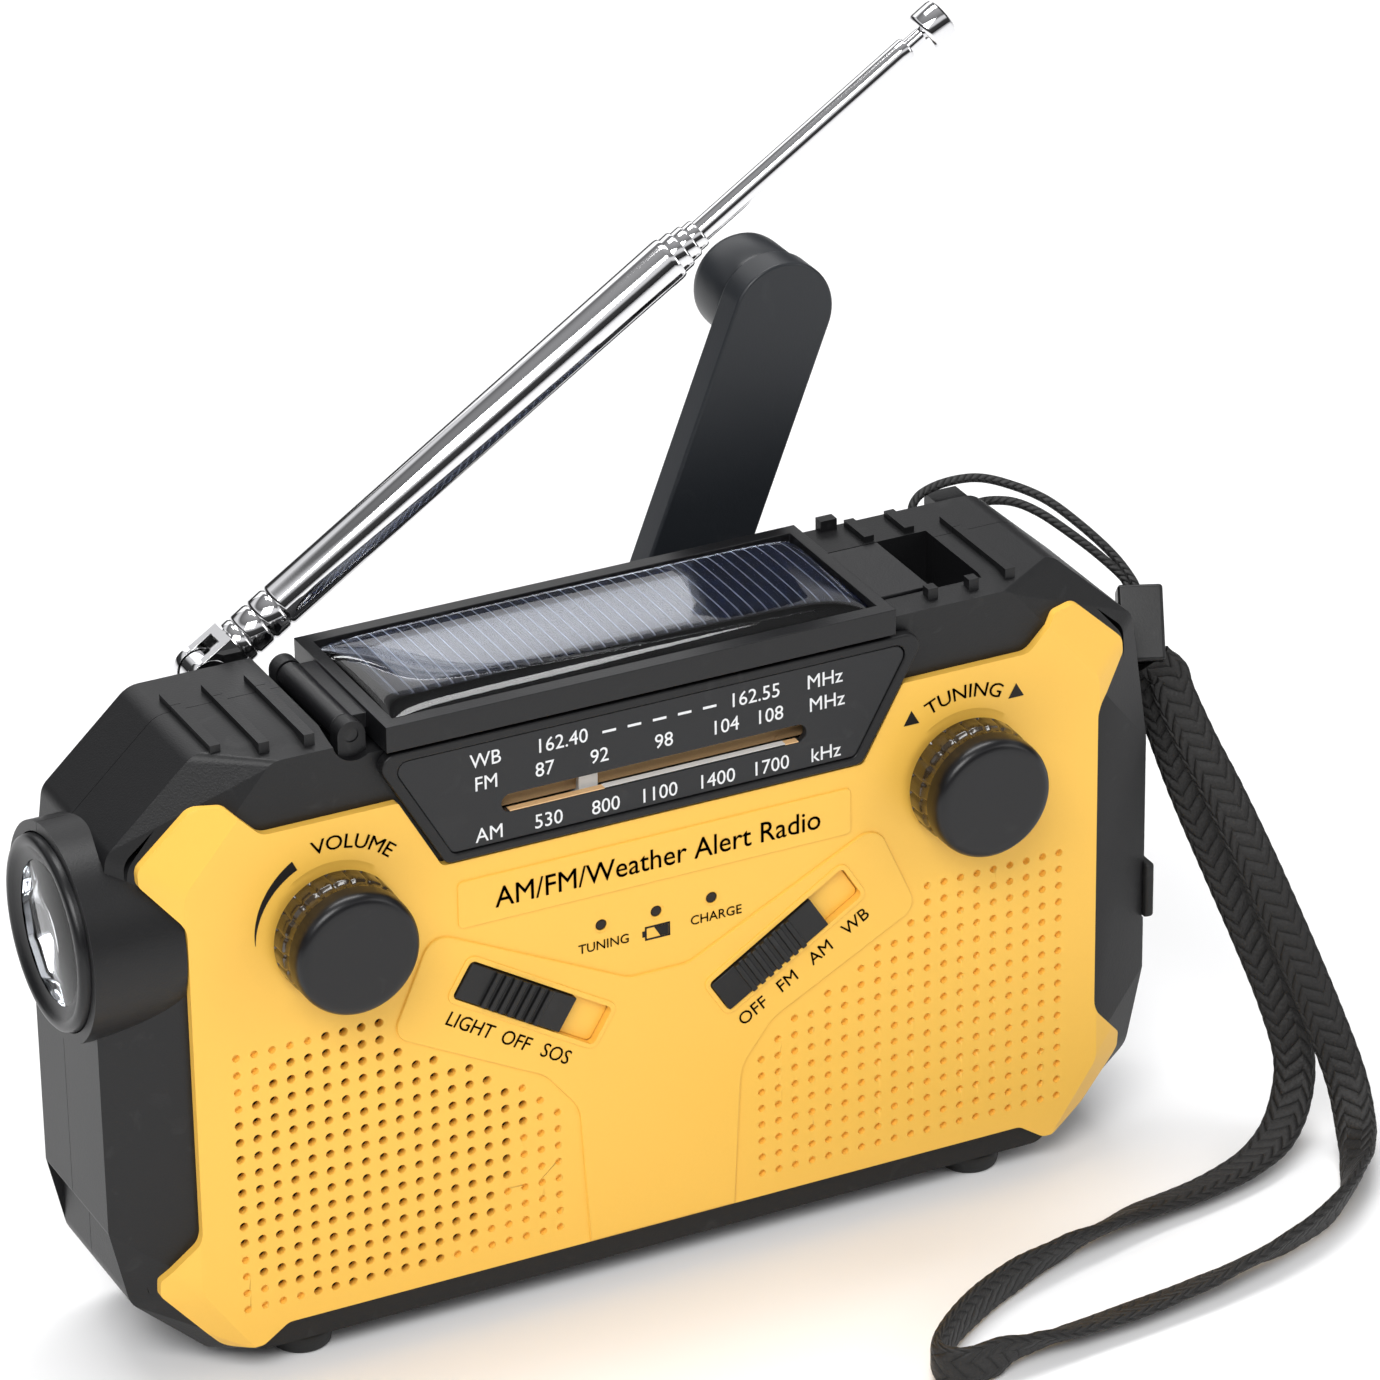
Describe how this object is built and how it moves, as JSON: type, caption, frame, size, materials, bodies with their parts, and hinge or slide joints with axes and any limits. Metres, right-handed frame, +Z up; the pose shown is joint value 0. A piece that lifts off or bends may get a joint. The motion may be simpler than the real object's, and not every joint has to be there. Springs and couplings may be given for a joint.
{
  "type": "emergency radio",
  "caption": "Hand-crank emergency radio with a yellow front, tuning dial, flip-up solar lid, flashlight, folding telescopic antenna, fold-out crank and wrist strap.",
  "frame": {"origin": "on the ground under the middle of the casing", "axes": "+Z up, front face towards -Y, +X to the viewer's right when facing the front"},
  "size_m": [0.1882, 0.1001, 0.1667],
  "materials": {
    "casing_plastic": "fine-grain matte charcoal",
    "panel_plastic": "satin warm yellow",
    "dial_plastic": "satin dark grey with white numbers",
    "dial_strip": "satin tan",
    "white_plastic": "satin white",
    "knob_plastic": "glossy dark brown, satin cap",
    "switch_plastic": "matte black",
    "lid_plastic": "fine-grain matte black",
    "solar_cell": "glossy navy with fine lines",
    "clear_cover": "clear domed resin",
    "clear_lens": "clear",
    "reflector": "bright faceted mirror",
    "led": "pale yellow emitter",
    "lamp_lens": "frosted white",
    "indicator": "clear white",
    "antenna_chrome": "bright chrome",
    "crank_plastic": "satin bluish charcoal",
    "steel": "plain steel",
    "dynamo_can": "zinc plated",
    "pinion": "machined",
    "battery_wrap": "shrink wrap",
    "circuit_board": "green solder mask",
    "speaker_cone": "paper and steel",
    "ferrite": "matte black ferrite",
    "rubber": "matte black rubber",
    "string": "braided black cord",
    "webbing": "black braid"
  },
  "bodies": {
    "casing": {"front_shell": "casing_plastic", "rear_shell": "casing_plastic", "front_panel": "panel_plastic", "dial_bezel": "casing_plastic", "dial_plate": "dial_plastic", "dial_backplate": "dial_strip", "gear_pins": "steel", "tuning_capacitor": "white_plastic", "volume_pot": "steel", "slide_switch_bodies": "steel", "indicator_leds": "indicator", "lid_hinge_pin": "steel", "reading_lamp": "lamp_lens", "flashlight_bezel": "lid_plastic", "flashlight_lens": "clear_lens", "flashlight_reflector": "reflector", "flashlight_led": "led", "dynamo": "dynamo_can", "battery_pack": "battery_wrap", "battery_door": "casing_plastic", "main_board": "circuit_board", "speaker": "speaker_cone", "ferrite_antenna": "ferrite", "port_jacks": "steel", "case_screws": "steel", "feet": "rubber", "lanyard_string": "string", "strap_sleeve": "switch_plastic", "wrist_strap": "webbing"},
    "pointer": {"pointer_rack": "white_plastic"},
    "idler_lower": {"idler_gear_lower": "white_plastic"},
    "idler_upper": {"idler_gear_upper": "white_plastic"},
    "tuning": {"tuning_knob": "knob_plastic", "tuning_shaft": "steel", "tuning_gear": "white_plastic"},
    "volume": {"volume_knob": "knob_plastic", "volume_shaft": "steel"},
    "light_switch": {"light_switch_slider": "switch_plastic"},
    "band_switch": {"band_switch_slider": "switch_plastic"},
    "lid": {"solar_lid": "lid_plastic", "solar_cell": "solar_cell", "solar_cover": "clear_cover"},
    "antenna_base": {"antenna_swivel": "antenna_chrome"},
    "antenna_arm": {"antenna_knuckle": "antenna_chrome", "antenna_pin": "antenna_chrome", "antenna_tube": "antenna_chrome"},
    "section_2": {"antenna_section_2": "antenna_chrome"},
    "section_3": {"antenna_section_3": "antenna_chrome"},
    "section_4": {"antenna_section_4": "antenna_chrome"},
    "section_5": {"antenna_section_5": "antenna_chrome"},
    "tip": {"antenna_tip": "antenna_chrome"},
    "crank": {"crank_hub": "crank_plastic", "crank_hinge_pin": "steel", "crank_gear": "white_plastic"},
    "crank_arm": {"crank_arm": "crank_plastic", "grip_pin": "steel"},
    "grip": {"crank_grip": "crank_plastic"},
    "compound": {"compound_gear": "white_plastic"},
    "dynamo_rotor": {"dynamo_pinion": "pinion"},
    "port_flap": {"port_cover": "rubber"}
  },
  "joints": [
    {"name": "volume_turn", "type": "hinge", "parent": "casing", "child": "volume", "pos_m": [-0.0475, -0.02, 0.0662], "axis": [0, 1, 0], "range_deg": [0, 300]},
    {"name": "tuning_turn", "type": "hinge", "parent": "casing", "child": "tuning", "pos_m": [0.0475, -0.02, 0.0662], "axis": [0, 1, 0], "range_deg": [-98, 274]},
    {"name": "idler_lower_turn", "type": "hinge", "parent": "casing", "child": "idler_lower", "pos_m": [0.03589, -0.0095, 0.06317], "axis": [0, 1, 0], "range_deg": [-280, 280]},
    {"name": "idler_upper_turn", "type": "hinge", "parent": "casing", "child": "idler_upper", "pos_m": [0.029, -0.0095, 0.073], "axis": [0, 1, 0], "range_deg": [-280, 280]},
    {"name": "pointer_slide", "type": "slide", "parent": "casing", "child": "pointer", "axis": [1, 0, 0], "range_m": [-0.0104, 0.0289]},
    {"name": "light_switch_slide", "type": "slide", "parent": "casing", "child": "light_switch", "axis": [0.8526, 0, -0.5225], "range_m": [0, 0.0061]},
    {"name": "band_switch_slide", "type": "slide", "parent": "casing", "child": "band_switch", "axis": [0.848, 0, 0.5299], "range_m": [0, 0.0061]},
    {"name": "lid_open", "type": "hinge", "parent": "casing", "child": "lid", "pos_m": [-0.043, 0, 0.093], "axis": [0, -1, 0], "range_deg": [0, 105]},
    {"name": "antenna_swivel_turn", "type": "hinge", "parent": "casing", "child": "antenna_base", "pos_m": [-0.0513, 0.0172, 0.08], "axis": [0, 0, 1], "range_deg": [0, 180]},
    {"name": "antenna_tilt", "type": "hinge", "parent": "antenna_base", "child": "antenna_arm", "pos_m": [-0.0513, 0.0172, 0.0904], "axis": [0, -1, 0], "range_deg": [-30.2, 105]},
    {"name": "section_2_slide", "type": "slide", "parent": "antenna_arm", "child": "section_2", "axis": [0.8368, 0, 0.5476], "range_m": [0, 0.066]},
    {"name": "section_3_slide", "type": "slide", "parent": "section_2", "child": "section_3", "axis": [0.8368, 0, 0.5476], "range_m": [0, 0.066]},
    {"name": "section_4_slide", "type": "slide", "parent": "section_3", "child": "section_4", "axis": [0.8368, 0, 0.5476], "range_m": [0, 0.066]},
    {"name": "section_5_slide", "type": "slide", "parent": "section_4", "child": "section_5", "axis": [0.8368, 0, 0.5476], "range_m": [-0.037, 0.03]},
    {"name": "tip_slide", "type": "slide", "parent": "section_5", "child": "tip", "axis": [0.8368, 0, 0.5476], "range_m": [-0.0025, 0.064]},
    {"name": "crank_turn", "type": "hinge", "parent": "casing", "child": "crank", "pos_m": [0.012, 0.02, 0.0536], "axis": [0, 1, 0], "continuous": true},
    {"name": "crank_fold", "type": "hinge", "parent": "crank", "child": "crank_arm", "pos_m": [0.012, 0.0245, 0.0536], "axis": [-0.9298, 0, 0.3681], "range_deg": [0, 165]},
    {"name": "grip_spin", "type": "hinge", "parent": "crank_arm", "child": "grip", "pos_m": [0.03924, 0.032, 0.1224], "axis": [0, 1, 0], "continuous": true},
    {"name": "compound_spin", "type": "hinge", "parent": "casing", "child": "compound", "pos_m": [0.03564, 0.008, 0.03513], "axis": [0, 1, 0], "continuous": true},
    {"name": "dynamo_spin", "type": "hinge", "parent": "casing", "child": "dynamo_rotor", "pos_m": [0.04883, 0.008, 0.01629], "axis": [0, 1, 0], "continuous": true},
    {"name": "port_flap_open", "type": "hinge", "parent": "casing", "child": "port_flap", "pos_m": [0.0796, 0.0009, 0.0375], "axis": [0, 0, 1], "range_deg": [0, 85]}
  ],
  "couplings": [
    {"joint": "idler_lower_turn", "follows": "tuning_turn", "ratio": -1},
    {"joint": "idler_upper_turn", "follows": "tuning_turn", "ratio": 1},
    {"joint": "pointer_slide", "follows": "tuning_turn", "m_per_rad": 0.006},
    {"joint": "compound_spin", "follows": "crank_turn", "ratio": -4},
    {"joint": "dynamo_spin", "follows": "crank_turn", "ratio": 14.4}
  ]
}
